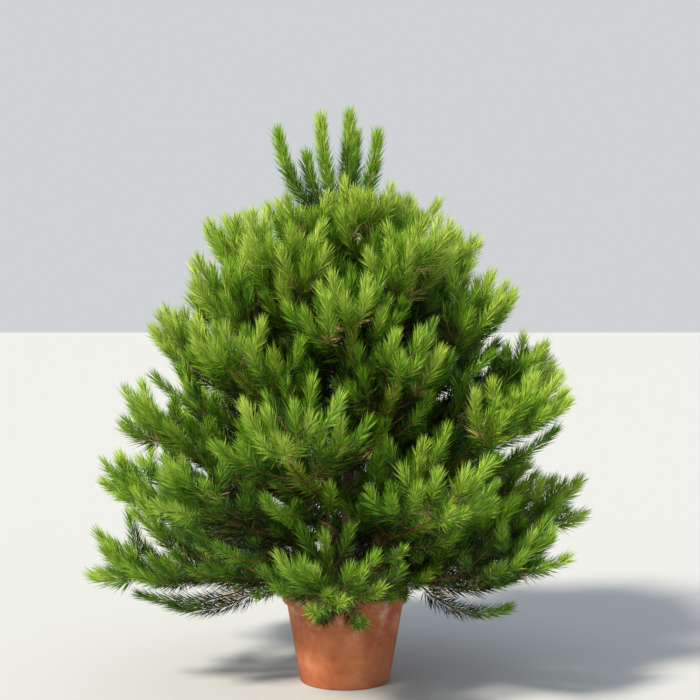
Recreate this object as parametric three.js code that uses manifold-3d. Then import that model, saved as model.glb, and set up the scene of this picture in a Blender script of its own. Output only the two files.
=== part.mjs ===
// A young Scots pine in a plain clay pot, about 2.0 m tall and 1.7 m across.
// Units are millimetres, +Z is up, and the pictured side faces -Y.
// The origin is the centre of the pot's flat underside.
import * as THREE from "three";
import { mergeVertices } from "three/addons/utils/BufferGeometryUtils.js";
import Module from "manifold-3d";

const wasm = await Module();
wasm.setup();

// Pieces that touch in the real plant keep this gap, as each is a solid of its own.
const seatGap = 0.3;

// Details finer than this are closed up, so that no sliver is left of a joint.
const weld = 0.25;

const pot = {
  height: 340,
  footRadius: 158,
  shoulderRadius: 206, // just under the rim band
  rimRadius: 220,
  rimBand: 58, // height of the thicker band round the mouth
  wall: 17,
  floor: 24,
  edge: 5, // bevel of the foot and the lip
  sides: 28,
  drains: 3,
  drainRadius: 10,
  drainCircle: 72, // the drain holes stand round the middle of the floor
};

const soil = {
  level: 312, // the flat middle that the trunk stands on
  flatRadius: 74,
  dip: 9, // how much lower it lies at the pot's wall
};

const trunk = {
  top: 1600, // where the leading shoot takes over
  footRadius: 26,
  topRadius: 6.5,
  flareRadius: 17, // what the root flare adds at the soil
  flareHeight: 34,
  roots: 5, // ridges that the flare runs out into
  sway: 9,
  lean: 14, // of the top, towards +X
  sides: 12,
  rings: 14,
};

// One row for each year's whorl, from the lowest up. rise and lift are the limb's
// slope in degrees where it leaves the trunk and at its tip. bare is the share of
// the limb with no needles, which is its own solid where it is over a fifth. nodes
// are the shares of a limb where side twigs stand.
const whorls = [
  {
    height: 395, limbs: 6, turn: 20, length: 760, rise: -8, lift: 16, bare: 0.22, radius: 9,
    nodes: [0.27, 0.46, 0.66, 0.86],
  },
  {
    height: 500, limbs: 6, turn: 230, length: 800, rise: 2, lift: 24, bare: 0.22, radius: 9.2,
    nodes: [0.27, 0.46, 0.66, 0.86],
  },
  {
    height: 625, limbs: 6, turn: 20, length: 840, rise: 10, lift: 34, bare: 0.12, radius: 9,
    nodes: [0.27, 0.46, 0.66, 0.86],
  },
  {
    height: 765, limbs: 6, turn: 230, length: 740, rise: 17, lift: 44, bare: 0.12, radius: 8.2,
    nodes: [0.27, 0.46, 0.66, 0.86],
  },
  {
    height: 930, limbs: 5, turn: 198, length: 660, rise: 24, lift: 56, bare: 0.12, radius: 7.2,
    nodes: [0.27, 0.47, 0.66, 0.86],
  },
  {
    height: 1110, limbs: 5, turn: 234, length: 580, rise: 22, lift: 62, bare: 0.12, radius: 6,
    nodes: [0.27, 0.47, 0.66, 0.86],
  },
  {
    height: 1285, limbs: 4, turn: 30, length: 360, rise: 30, lift: 76, bare: 0.12, radius: 5,
    nodes: [0.3, 0.6, 0.84],
  },
];

// The shoots of this year round the leader, each with its own turn and slope
const topShoots = {
  height: 1545,
  step: 9, // from one shoot's foot up to the next one's
  turns: [183, 222, 322, 68, 152],
  rises: [33, 60, 51, 64, 30],
  lifts: [80, 86, 84, 86, 84],
  lengths: [431, 400, 350, 335, 296],
  bare: 0.1,
  radius: 4.2,
};
const leader = { length: 354, radius: 5.5, bare: 0.06, turn: 20, lift: 87 };

// How far a limb strays from its row's values
const stray = { turn: 9, length: 0.08, slope: 5, height: 13 };

const twig = {
  tipRadius: 2.4,
  share: 0.75, // a side twig's length, as a share of the limb beyond it
  extra: 70,
  spread: 52, // degrees from the limb
  upward: 0.55, // how much a twig turns to the light
  rolls: [[96, -96, 8], [70, -70]], // round the limb from above, at even and odd nodes
  bare: 0.18,
  least: 120, // a twig that its mass's space cuts shorter is left out
  thickness: 0.55, // of the limb's radius there
  sides: 3,
};

// A spray of needles is a tooth on the twig's core. spread is in degrees from the
// twig, at its tip and at the foot of its needles, and upward is how much they turn
// to the light.
const spray = {
  length: 126, spread: 39, oldSpread: 56, upward: 0.2, core: 13.5, tier: 120, sizes: [1, 0.64, 0.4],
};
const topSpray = {
  length: 88, spread: 23, oldSpread: 34, upward: 0.1, core: 7, tier: 68, sizes: [1, 0.64, 0.4],
};

const clear = {
  space: 2, // from the next mass's space
  limb: 4, // from the trunk and the boughs
  pot: 34,
};

const barkMaterial = new THREE.MeshStandardMaterial({ color: 0x6f4e35, roughness: 0.9 });
const boughMaterial = new THREE.MeshStandardMaterial({ color: 0x8f6238, roughness: 0.85 });
const needleMaterial = new THREE.MeshStandardMaterial({ color: 0x5f8a1e, roughness: 0.5 });
const clayMaterial = new THREE.MeshStandardMaterial({ color: 0xb5673f, roughness: 0.85 });
const soilMaterial = new THREE.MeshStandardMaterial({ color: 0x35261b, roughness: 0.95 });

const up = new THREE.Vector3(0, 0, 1);

// A repeatable draw from -1 to 1: the nth choice made on one limb
function draw(limb, n) {
  const wave = Math.sin(limb * 12.9898 + n * 78.233) * 43758.5453;
  return 2 * (wave - Math.floor(wave)) - 1;
}

function mix(a, b, share) {
  return a + (b - a) * share;
}

function heading(turn, slope) {
  const t = THREE.MathUtils.degToRad(turn);
  const s = THREE.MathUtils.degToRad(slope);
  return new THREE.Vector3(Math.cos(t) * Math.cos(s), Math.sin(t) * Math.cos(s), Math.sin(s));
}

// A limb is a circular arc that turns evenly from one heading to another
class Limb extends THREE.Curve {
  constructor(start, from, to, length, rootRadius, tipRadius) {
    super();
    this.start = start.clone();
    this.from = from.clone().normalize();
    this.to = to.clone().normalize();
    this.length = length;
    this.rootRadius = rootRadius;
    this.tipRadius = tipRadius;
    this.angle = Math.max(this.from.angleTo(this.to), 1e-3);
    this.side = this.from.clone().cross(this.to).normalize();
    this.path = this.getPoints(14);
  }

  getPoint(t) {
    const a = this.angle;
    const scale = this.length / (a * Math.sin(a));
    const alongFrom = (Math.cos((1 - t) * a) - Math.cos(a)) * scale;
    const alongTo = (1 - Math.cos(t * a)) * scale;
    return this.start.clone().addScaledVector(this.from, alongFrom).addScaledVector(this.to, alongTo);
  }

  direction(t) {
    const a = this.angle;
    const d = this.from.clone().multiplyScalar(Math.sin((1 - t) * a));
    return d.addScaledVector(this.to, Math.sin(t * a)).normalize();
  }

  radius(t) {
    return mix(this.rootRadius, this.tipRadius, t);
  }

  // A point at an angle round the limb, at a distance from its middle
  around(t, angle, distance) {
    const d = this.direction(t);
    const across = d.clone().cross(this.side);
    return this.getPoint(t)
      .addScaledVector(this.side, Math.cos(angle) * distance)
      .addScaledVector(across, Math.sin(angle) * distance);
  }
}

function trunkCentre(z) {
  const share = (z - soil.level) / (trunk.top - soil.level);
  const x = trunk.lean * share * share + trunk.sway * Math.sin(share * 5.2);
  const y = trunk.sway * (Math.cos(share * 4.1) - 1) * 0.5;
  return new THREE.Vector3(x, y, z);
}

function trunkRadius(z) {
  const share = Math.max(0, (z - soil.level) / (trunk.top - soil.level));
  return mix(trunk.footRadius, trunk.topRadius, Math.pow(share, 0.9));
}

function manifoldOf(points, triangles) {
  return new wasm.Manifold(
    new wasm.Mesh({
      numProp: 3,
      vertProperties: new Float32Array(points.flatMap((p) => [p.x, p.y, p.z])),
      triVerts: new Uint32Array(triangles.flat()),
    }),
  );
}

function manifoldOfGeometry(geometry) {
  const bare = geometry.clone();
  bare.deleteAttribute("normal");
  bare.deleteAttribute("uv");
  const merged = mergeVertices(bare, 1e-3);
  return new wasm.Manifold(
    new wasm.Mesh({
      numProp: 3,
      vertProperties: merged.attributes.position.array,
      triVerts: new Uint32Array(merged.index.array),
    }),
  );
}

// The outer skin of a joined solid: a hollow that joining sealed is filled, a loose
// scrap is dropped, and slivers under weld are closed up
function geometryOf(solid) {
  const skins = solid.asOriginal().simplify(weld).decompose();
  const mesh = skins.reduce((a, b) => (a.volume() > b.volume() ? a : b)).getMesh();
  const geometry = new THREE.BufferGeometry();
  geometry.setAttribute("position", new THREE.BufferAttribute(mesh.vertProperties, 3));
  geometry.setIndex(new THREE.BufferAttribute(mesh.triVerts, 1));
  geometry.computeVertexNormals();
  return geometry;
}

function meshOf(name, solid, material) {
  const mesh = new THREE.Mesh(geometryOf(solid), material);
  mesh.name = name;
  return mesh;
}

// The trunk: a CylinderGeometry laid round the swaying centre line, grown by extra
function trunkSolid(extra) {
  const foot = soil.level + seatGap - extra;
  const height = trunk.top + extra - foot;
  const shape = new THREE.CylinderGeometry(1, 1, 1, trunk.sides, trunk.rings);
  const place = shape.attributes.position;
  for (let i = 0; i < place.count; i++) {
    // Rings crowd towards the foot, where the flare needs them
    const share = Math.pow(Math.max(0, place.getY(i) + 0.5), 1.7);
    const z = foot + share * height;
    const rim = Math.hypot(place.getX(i), place.getZ(i));
    const angle = Math.atan2(place.getX(i), place.getZ(i));
    const above = Math.max(z - soil.level, 0);
    const ridge = 0.62 + 0.38 * Math.cos(trunk.roots * angle);
    const flare = trunk.flareRadius * ridge * Math.exp(-above / trunk.flareHeight);
    const radius = rim * (trunkRadius(z) + flare + extra);
    const centre = trunkCentre(z);
    place.setXYZ(i, centre.x + radius * Math.sin(angle), centre.y - radius * Math.cos(angle), z);
  }
  return manifoldOfGeometry(shape);
}

// A tapering tube along part of a limb, with flat ends square to it
function limbSolid(limb, first, last, sides, rings) {
  const shape = new THREE.CylinderGeometry(1, 1, 1, sides, rings);
  const place = shape.attributes.position;
  for (let i = 0; i < place.count; i++) {
    const t = mix(first, last, place.getY(i) + 0.5);
    const rim = Math.hypot(place.getX(i), place.getZ(i));
    const angle = Math.atan2(place.getX(i), place.getZ(i));
    const point = limb.around(t, angle, rim * limb.radius(t));
    place.setXYZ(i, point.x, point.y, point.z);
  }
  return manifoldOfGeometry(shape);
}

function distanceToPath(point, path) {
  const along = new THREE.Line3();
  const nearest = new THREE.Vector3();
  let least = Infinity;
  for (let i = 1; i < path.length; i++) {
    along.set(path[i - 1], path[i]);
    along.closestPointToPoint(point, true, nearest);
    least = Math.min(least, nearest.distanceTo(point));
  }
  return least;
}

// A mass keeps to the points that are nearer to its own limb than to any other,
// and clear of the trunk and of its own bare bough
function inOwnSpace(point, mass, masses, margin) {
  const own = distanceToPath(point, mass.limb.path);
  const trunkGap = Math.hypot(...trunkCentre(point.z).sub(point).toArray()) - trunkRadius(point.z);
  if (point.z < trunk.top && trunkGap < clear.limb) return false;
  if (point.z < pot.height + clear.pot && Math.hypot(point.x, point.y) < pot.rimRadius + clear.pot) return false;
  if (mass.boughPath && distanceToPath(point, mass.boughPath) < mass.limb.rootRadius + clear.limb) return false;
  return masses.every((other) => other === mass || distanceToPath(point, other.limb.path) - own > 2 * margin);
}

// Within a mass each twig's sprays keep to the points that are nearest to that twig
function isNearest(point, limb, others) {
  const own = distanceToPath(point, limb.path);
  return others.every((other) => other === limb || distanceToPath(point, other.path) > own);
}

// A twig with its sprays in one closed body. The core runs from share first of the
// limb to its tip, and has a tooth on each face of each tier past share needled.
function needledTwig(limb, first, needled, sides, others, mass, masses) {
  const tiers = Math.max(1, Math.round(((1 - needled) * limb.length) / mass.spray.tier));
  const stemRings = limb.length * (needled - first) > 90 ? 2 : 1;
  const firstCore = tiers > 1 ? stemRings + 1 : stemRings;
  const stops = [];
  for (let i = 0; i < stemRings; i++) stops.push(mix(first, needled, i / stemRings));
  for (let i = 0; i <= tiers; i++) stops.push(mix(needled, 0.985, i / tiers));

  const points = [];
  const triangles = [];
  stops.forEach((t, ring) => {
    const inNeedles = ring >= firstCore && ring < stops.length - 1;
    const radius = inNeedles ? Math.max(mass.spray.core, limb.radius(t)) : limb.radius(t);
    const twist = (ring * Math.PI) / sides;
    for (let k = 0; k < sides; k++) {
      points.push(limb.around(t, twist + (2 * Math.PI * k) / sides, radius));
    }
  });

  const at = (ring, k) => ring * sides + (k % sides);
  for (let ring = 0; ring + 1 < stops.length; ring++) {
    for (let k = 0; k < sides; k++) {
      const corners = [at(ring, k), at(ring, k + 1), at(ring + 1, k + 1), at(ring + 1, k)];
      const room = (point) => inOwnSpace(point, mass, masses, clear.space) && isNearest(point, limb, others);
      const tooth = ring >= stemRings ? toothTip(limb, stops, ring, corners, points, mass.spray, room) : null;
      if (tooth) {
        const tip = points.push(tooth) - 1;
        corners.forEach((corner, i) => triangles.push([corner, corners[(i + 1) % 4], tip]));
      } else {
        triangles.push([corners[0], corners[1], corners[2]], [corners[0], corners[2], corners[3]]);
      }
    }
  }
  for (let k = 1; k + 1 < sides; k++) triangles.push([at(0, 0), at(0, k + 1), at(0, k)]);

  const lastRing = stops.length - 1;
  const bud = points.push(limb.getPoint(1)) - 1;
  for (let k = 0; k < sides; k++) triangles.push([at(lastRing, k), at(lastRing, k + 1), bud]);
  return manifoldOf(points, triangles);
}

// The tip of the tooth on one face of the core, or null where it would leave the space
function toothTip(limb, stops, ring, corners, points, shape, room) {
  const t = (stops[ring] + stops[ring + 1]) / 2;
  const foot = new THREE.Vector3();
  corners.forEach((corner) => foot.addScaledVector(points[corner], 0.25));
  const middle = limb.getPoint(stops[ring]).lerp(limb.getPoint(stops[ring + 1]), 0.5);
  const outward = foot.clone().sub(middle).normalize();
  const age = (1 - t) / (1 - stops[1]);
  const spread = THREE.MathUtils.degToRad(mix(shape.spread, shape.oldSpread, age));
  const way = limb
    .direction(t)
    .multiplyScalar(Math.cos(spread))
    .addScaledVector(outward, Math.sin(spread))
    .addScaledVector(up, shape.upward)
    .normalize();
  const reach = shape.sizes.find((size) =>
    [0.1, 0.4, 0.7, 1].every((share) => room(foot.clone().addScaledVector(way, shape.length * size * share))),
  );
  return reach ? foot.addScaledVector(way, shape.length * reach) : null;
}

// The side twigs of one limb, round it at each node
function sideTwigs(limb, nodes, seed) {
  const twigs = [];
  nodes.forEach((node, n) => {
    twig.rolls[n % 2].forEach((turn, k) => {
      const chance = (i) => draw(seed, 20 + n * 12 + k * 4 + i);
      const t = node + 0.02 * chance(0);
      const along = limb.direction(t);
      const level = along.clone().cross(up).normalize();
      const above = level.clone().cross(along);
      const roll = THREE.MathUtils.degToRad(turn + 12 * chance(1));
      const spread = THREE.MathUtils.degToRad(twig.spread + 8 * chance(2));
      const outward = level.multiplyScalar(Math.sin(roll)).addScaledVector(above, Math.cos(roll));
      const from = along.multiplyScalar(Math.cos(spread)).addScaledVector(outward, Math.sin(spread));
      const to = from.clone().add(limb.to).addScaledVector(up, twig.upward);
      const length = (twig.share * limb.length * (1 - t) + twig.extra) * (1 + 0.15 * chance(3));
      const thickness = Math.max(twig.tipRadius, limb.radius(t) * twig.thickness);
      twigs.push(new Limb(limb.getPoint(t), from, to, length, thickness, twig.tipRadius));
    });
  });
  return twigs;
}

function limbOf(row, whorl, k) {
  const seed = 10 * whorl + k + 1;
  const turn = row.turn + (360 / row.limbs) * k + stray.turn * draw(seed, 1);
  const length = row.length * (1 + stray.length * draw(seed, 2));
  const rise = row.rise + stray.slope * draw(seed, 3);
  const lift = row.lift + stray.slope * draw(seed, 4);
  const root = trunkCentre(row.height + stray.height * draw(seed, 5));
  return new Limb(root, heading(turn, rise), heading(turn, lift), length, row.radius, twig.tipRadius);
}

// Every limb that carries needles, with the name and the path that its mass keeps to
function plannedMasses() {
  const masses = [];
  whorls.forEach((row, whorl) => {
    for (let k = 0; k < row.limbs; k++) {
      const seed = 10 * whorl + k + 1;
      const limb = limbOf(row, whorl, k);
      const ownBough = row.bare > 0.2;
      const name = `${whorl + 1}_${k + 1}`;
      masses.push({ name, limb, bare: row.bare, nodes: row.nodes, seed, ownBough, spray });
    }
  });
  const top = topShoots;
  top.turns.forEach((turn, k) => {
    const root = trunkCentre(top.height + top.step * k);
    const from = heading(turn, top.rises[k]);
    const to = heading(turn, top.lifts[k]);
    const limb = new Limb(root, from, to, top.lengths[k], top.radius, twig.tipRadius);
    masses.push({ name: `top_${k + 1}`, limb, bare: top.bare, nodes: [], seed: 80 + k, spray: topSpray });
  });
  const root = trunkCentre(trunk.top + seatGap);
  const to = heading(leader.turn, leader.lift);
  const tall = new Limb(root, up, to, leader.length, leader.radius, twig.tipRadius);
  masses.push({ name: "leader", limb: tall, bare: leader.bare, nodes: [], seed: 99, spray: topSpray });
  for (const mass of masses) {
    if (mass.ownBough) {
      const last = mass.bare - 0.02;
      mass.boughPath = [0, 1, 2, 3, 4].map((i) => mass.limb.getPoint((last * i) / 4));
    }
  }
  return masses;
}

// A side twig is cut short where it would leave its mass's space, and left out if
// little of it would remain
function trimmed(side, mass, masses) {
  const steps = 10;
  for (let i = 2; i <= steps; i++) {
    if (inOwnSpace(side.getPoint(i / steps), mass, masses, clear.space + mass.spray.core)) continue;
    const kept = (i - 1) / steps;
    if (kept * side.length < twig.least) return null;
    const turned = side.direction(kept);
    return new Limb(side.start, side.from, turned, side.length * kept, side.rootRadius, side.tipRadius);
  }
  return side;
}

function massSolid(mass, masses, trunkRoom) {
  const { limb } = mass;
  const first = mass.ownBough ? mass.bare + seatGap / limb.length : 0;
  const grown = sideTwigs(limb, mass.nodes, mass.seed).map((side) => trimmed(side, mass, masses));
  const sides = grown.filter((side) => side);
  const all = [limb, ...sides];
  const stem = needledTwig(limb, first, mass.bare + 0.05, mass.nodes.length ? 4 : 5, all, mass, masses);
  const bodies = sides.map((side) => needledTwig(side, 0, twig.bare, twig.sides, all, mass, masses));
  bodies.push(stem);
  const joined = wasm.Manifold.union(bodies);
  return mass.ownBough || mass.name === "leader" ? joined : joined.subtract(trunkRoom);
}

function potSolid() {
  const inner = (z) => mix(pot.footRadius, pot.shoulderRadius, z / (pot.height - pot.rimBand)) - pot.wall;
  const bandFoot = pot.height - pot.rimBand;
  const profile = [
    [0, 0],
    [pot.footRadius - pot.edge, 0],
    [pot.footRadius, pot.edge],
    [pot.shoulderRadius, bandFoot],
    [pot.rimRadius - pot.edge, bandFoot],
    [pot.rimRadius, bandFoot + pot.edge],
    [pot.rimRadius, pot.height - pot.edge],
    [pot.rimRadius - pot.edge, pot.height],
    [inner(pot.height) + pot.edge, pot.height],
    [inner(pot.height), pot.height - pot.edge],
    [inner(pot.floor), pot.floor],
    [0, pot.floor],
  ].map(([x, y]) => new THREE.Vector2(x, y));
  const shell = new THREE.LatheGeometry(profile, pot.sides);
  shell.rotateX(Math.PI / 2);
  let solid = manifoldOfGeometry(shell);
  for (let i = 0; i < pot.drains; i++) {
    const angle = (2 * Math.PI * i) / pot.drains;
    const drain = new THREE.CylinderGeometry(pot.drainRadius, pot.drainRadius, pot.floor * 3, 8);
    drain.rotateX(Math.PI / 2);
    drain.translate(Math.cos(angle) * pot.drainCircle, Math.sin(angle) * pot.drainCircle, 0);
    solid = solid.subtract(manifoldOfGeometry(drain));
  }
  return solid;
}

function soilSolid() {
  const slope = (pot.shoulderRadius - pot.footRadius) / (pot.height - pot.rimBand);
  const wallAt = (z) => pot.footRadius + slope * z - pot.wall - 1.5 * seatGap;
  const bottom = pot.floor + seatGap;
  const edgeLevel = soil.level - soil.dip;
  const profile = [
    [0, bottom],
    [wallAt(bottom), bottom],
    [wallAt(edgeLevel), edgeLevel],
    [soil.flatRadius, soil.level],
    [0, soil.level],
  ].map(([x, y]) => new THREE.Vector2(x, y));
  const body = new THREE.LatheGeometry(profile, pot.sides);
  body.rotateX(Math.PI / 2);
  return manifoldOfGeometry(body);
}

const pine = new THREE.Group();
pine.add(meshOf("pot", potSolid(), clayMaterial));
pine.add(meshOf("soil", soilSolid(), soilMaterial));
pine.add(meshOf("trunk", trunkSolid(0), barkMaterial));

const trunkRoom = trunkSolid(seatGap * 1.3);
const masses = plannedMasses();
for (const mass of masses) {
  if (mass.ownBough) {
    const bough = limbSolid(mass.limb, 0, mass.bare, 6, 3).subtract(trunkRoom);
    pine.add(meshOf(`bough_${mass.name}`, bough, boughMaterial));
  }
  pine.add(meshOf(`foliage_${mass.name}`, massSolid(mass, masses, trunkRoom), needleMaterial));
}

export default pine;
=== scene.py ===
import bpy
import math
import numpy as np
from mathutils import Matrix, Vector, noise


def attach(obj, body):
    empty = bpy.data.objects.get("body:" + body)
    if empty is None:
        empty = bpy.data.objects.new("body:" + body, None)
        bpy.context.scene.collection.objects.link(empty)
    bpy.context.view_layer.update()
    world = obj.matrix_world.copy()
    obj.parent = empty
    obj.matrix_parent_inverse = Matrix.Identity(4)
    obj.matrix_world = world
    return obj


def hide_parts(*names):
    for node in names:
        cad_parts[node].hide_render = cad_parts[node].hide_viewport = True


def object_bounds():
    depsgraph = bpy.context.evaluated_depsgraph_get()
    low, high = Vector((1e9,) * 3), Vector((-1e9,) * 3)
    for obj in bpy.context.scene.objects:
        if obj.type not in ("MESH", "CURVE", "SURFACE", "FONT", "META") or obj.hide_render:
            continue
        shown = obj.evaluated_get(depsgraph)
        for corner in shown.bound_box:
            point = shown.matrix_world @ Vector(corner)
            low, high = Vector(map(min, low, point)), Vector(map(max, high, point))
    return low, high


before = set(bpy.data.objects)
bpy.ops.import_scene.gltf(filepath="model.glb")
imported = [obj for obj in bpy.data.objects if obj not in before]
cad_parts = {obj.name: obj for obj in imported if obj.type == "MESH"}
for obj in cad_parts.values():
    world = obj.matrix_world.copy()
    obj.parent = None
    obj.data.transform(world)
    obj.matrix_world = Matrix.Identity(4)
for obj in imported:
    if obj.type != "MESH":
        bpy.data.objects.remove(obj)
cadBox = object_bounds()
print("frame loaded:", len(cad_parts), "nodes")

# Metres and degrees. The growth values repeat those of the CAD part, apart from the room
# left round the pot, which the stiff sprays of the solids need more of.
potSizes = {
    "height": 0.34, "footRadius": 0.158, "shoulderRadius": 0.206, "rimRadius": 0.22,
    "rimBand": 0.058, "wall": 0.017, "floor": 0.024, "edge": 0.005,
    "drains": 3, "drainRadius": 0.01, "drainCircle": 0.072, "drainSides": 32,
    "sides": 120, "meshStep": 0.003,
    "throwingRing": 0.0003,  # height of the ripples that the thrower's fingers leave
    "ringPitch": 0.0085,
    "plainFoot": 0.012, "plainEdge": 0.004,  # no ripples this near the foot or an edge
    "wobble": 0.0009,  # how far the rim is from a true circle
    "wobblePace": 1.3, "wobbleRise": 3,
    "trueFoot": 0.02, "trueCentre": 0.1,  # nearer than these the wobble dies away
}
soilSizes = {
    "level": 0.312, "flatRadius": 0.074, "dip": 0.009, "rings": 46, "sides": 150,
    "gap": 0.0006,  # between the soil and the pot
    "lump": 0.004, "lumpsPerMetre": 38, "crumb": 0.0014, "crumbsPerMetre": 240,
}
trunkSizes = {
    "top": 1.6, "footRadius": 0.026, "topRadius": 0.0065, "taper": 0.9,
    "flareRadius": 0.017, "flareHeight": 0.034, "roots": 5, "rootMean": 0.62, "rootSwing": 0.38,
    "lean": 0.014, "sway": 0.009, "swayWaves": (5.2, 4.1), "sideSway": 0.5,
}
whorls = [
    {"height": 0.395, "limbs": 6, "turn": 20, "length": 0.76, "rise": -8, "lift": 16, "bare": 0.22,
     "radius": 0.009, "nodes": [0.27, 0.46, 0.66, 0.86]},
    {"height": 0.5, "limbs": 6, "turn": 230, "length": 0.8, "rise": 2, "lift": 24, "bare": 0.22,
     "radius": 0.0092, "nodes": [0.27, 0.46, 0.66, 0.86]},
    {"height": 0.625, "limbs": 6, "turn": 20, "length": 0.84, "rise": 10, "lift": 34, "bare": 0.12,
     "radius": 0.009, "nodes": [0.27, 0.46, 0.66, 0.86]},
    {"height": 0.765, "limbs": 6, "turn": 230, "length": 0.74, "rise": 17, "lift": 44, "bare": 0.12,
     "radius": 0.0082, "nodes": [0.27, 0.46, 0.66, 0.86]},
    {"height": 0.93, "limbs": 5, "turn": 198, "length": 0.66, "rise": 24, "lift": 56, "bare": 0.12,
     "radius": 0.0072, "nodes": [0.27, 0.47, 0.66, 0.86]},
    {"height": 1.11, "limbs": 5, "turn": 234, "length": 0.58, "rise": 22, "lift": 62, "bare": 0.12,
     "radius": 0.006, "nodes": [0.27, 0.47, 0.66, 0.86]},
    {"height": 1.285, "limbs": 4, "turn": 30, "length": 0.36, "rise": 30, "lift": 76, "bare": 0.12,
     "radius": 0.005, "nodes": [0.3, 0.6, 0.84]},
]
topShoots = {
    "height": 1.545, "step": 0.009, "turns": [183, 222, 322, 68, 152],
    "rises": [33, 60, 51, 64, 30], "lifts": [80, 86, 84, 86, 84],
    "lengths": [0.431, 0.4, 0.35, 0.335, 0.296],
    "bare": 0.1, "radius": 0.0042, "seed": 80,
}
leader = {"length": 0.354, "radius": 0.0055, "bare": 0.06, "turn": 20, "lift": 87, "seed": 99}
# How far a drawn value strays from its rule: degrees, metres, or a share for length and node
stray = {"turn": 9, "length": 0.08, "slope": 5, "height": 0.013, "node": 0.02, "roll": 12, "spread": 8}
# Side twigs; every second node has the second list of rolls, in degrees from straight up
twigRule = {
    "tipRadius": 0.0024, "share": 0.75, "extra": 0.07, "spread": 52,
    "rolls": [[96, -96, 8], [70, -70]], "least": 0.09, "thickness": 0.55,
    "upward": 0.55, "margin": 0.0155, "lengthStray": 0.15, "bare": 0.12,
}
# The finer side shoots that the solids leave out, by the same rule
fineRule = {
    "tipRadius": 0.0017, "share": 0.62, "extra": 0.09, "spread": 38,
    "rolls": [[78, -78], [40, -140, 160]], "least": 0.1, "thickness": 0.6,
    "upward": 0.9, "margin": -0.02, "lengthStray": 0.2, "bare": 0.14,
    "nodes": [0.42], "limbNodes": [0.22, 0.36, 0.58, 0.9],
    "limbSeed": 3000, "twigSeed": 1000,
}
pastBough = 0.03  # share of a limb between its bare foot and its first needles
# Room left round the trunk and the pot; a needle's foot may sit a little inside the bark
clear = {"trunk": 0.004, "pot": 0.008, "needleFoot": -0.002}
# How far a shoot's end and a needle's tip may stand outside the CAD model's box
reach = {"shoot": -0.03, "needle": 0.029}
upWay = np.array([0.0, 0.0, 1.0])


def draw(limb, n):
    # A number from -1 to 1 for a limb and a counter, as the CAD part draws it
    wave = math.sin(limb * 12.9898 + n * 78.233) * 43758.5453
    return 2 * (wave - math.floor(wave)) - 1


def mix(a, b, share):
    return a + (b - a) * share


def unit(v):
    return v / np.linalg.norm(v, axis=-1, keepdims=True)


def roundAngles(sides):
    return np.linspace(0, 2 * math.pi, sides, endpoint=False)


def heading(turn, slope):
    t, s = math.radians(turn), math.radians(slope)
    return np.array([math.cos(t) * math.cos(s), math.sin(t) * math.cos(s), math.sin(s)])


class Limb:
    # A circular arc that turns evenly from one heading to another
    def __init__(self, start, leaving, arriving, length, rootRadius, tipRadius):
        self.start = np.array(start, float)
        self.leaving, self.arriving = unit(leaving), unit(arriving)
        self.length, self.rootRadius, self.tipRadius = length, rootRadius, tipRadius
        cosine = float(np.clip(self.leaving @ self.arriving, -1, 1))
        self.angle = max(math.acos(cosine), 1e-3)  # never quite straight
        self.path = self.points(np.linspace(0, 1, 15))

    def points(self, t):
        t = np.atleast_1d(t)[:, None]
        a = self.angle
        scale = self.length / (a * math.sin(a))
        alongLeaving = (np.cos((1 - t) * a) - math.cos(a)) * scale
        alongArriving = (1 - np.cos(t * a)) * scale
        return self.start + self.leaving * alongLeaving + self.arriving * alongArriving

    def directions(self, t):
        t = np.atleast_1d(t)[:, None]
        return unit(self.leaving * np.sin((1 - t) * self.angle) + self.arriving * np.sin(t * self.angle))

    def radii(self, t):
        return mix(self.rootRadius, self.tipRadius, np.atleast_1d(t))


def trunkCentre(z):
    z = np.asarray(z, float)
    share = (z - soilSizes["level"]) / (trunkSizes["top"] - soilSizes["level"])
    ahead, aside = trunkSizes["swayWaves"]
    x = trunkSizes["lean"] * share * share + trunkSizes["sway"] * np.sin(share * ahead)
    y = trunkSizes["sway"] * (np.cos(share * aside) - 1) * trunkSizes["sideSway"]
    return np.stack([x, y, z], axis=-1)


def trunkRadius(z):
    share = (np.asarray(z) - soilSizes["level"]) / (trunkSizes["top"] - soilSizes["level"])
    share = np.maximum(0, share) ** trunkSizes["taper"]
    return mix(trunkSizes["footRadius"], trunkSizes["topRadius"], share)


def limbOf(row, k, seed):
    turn = row["turn"] + 360 / row["limbs"] * k + stray["turn"] * draw(seed, 1)
    length = row["length"] * (1 + stray["length"] * draw(seed, 2))
    rise = row["rise"] + stray["slope"] * draw(seed, 3)
    lift = row["lift"] + stray["slope"] * draw(seed, 4)
    root = trunkCentre(row["height"] + stray["height"] * draw(seed, 5))
    return Limb(root, heading(turn, rise), heading(turn, lift), length, row["radius"], twigRule["tipRadius"])


def massOf(limb, bare, seed, nodes=()):
    return {"limb": limb, "bare": bare, "seed": seed, "nodes": nodes, "top": not nodes}


def plannedMasses():
    # One mass for each limb of the whorls, then the leading shoots and the leader
    planned = []
    for whorl, row in enumerate(whorls):
        for k in range(row["limbs"]):
            seed = 10 * whorl + k + 1
            planned.append(massOf(limbOf(row, k, seed), row["bare"], seed, row["nodes"]))
    for k, turn in enumerate(topShoots["turns"]):
        root = trunkCentre(topShoots["height"] + topShoots["step"] * k)
        limb = Limb(root, heading(turn, topShoots["rises"][k]), heading(turn, topShoots["lifts"][k]),
                    topShoots["lengths"][k], topShoots["radius"], twigRule["tipRadius"])
        planned.append(massOf(limb, topShoots["bare"], topShoots["seed"] + k))
    tall = Limb(trunkCentre(trunkSizes["top"]), upWay, heading(leader["turn"], leader["lift"]),
                leader["length"], leader["radius"], twigRule["tipRadius"])
    return planned + [massOf(tall, leader["bare"], leader["seed"])]


masses = plannedMasses()
limbPaths = np.array([mass["limb"].path for mass in masses])


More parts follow.
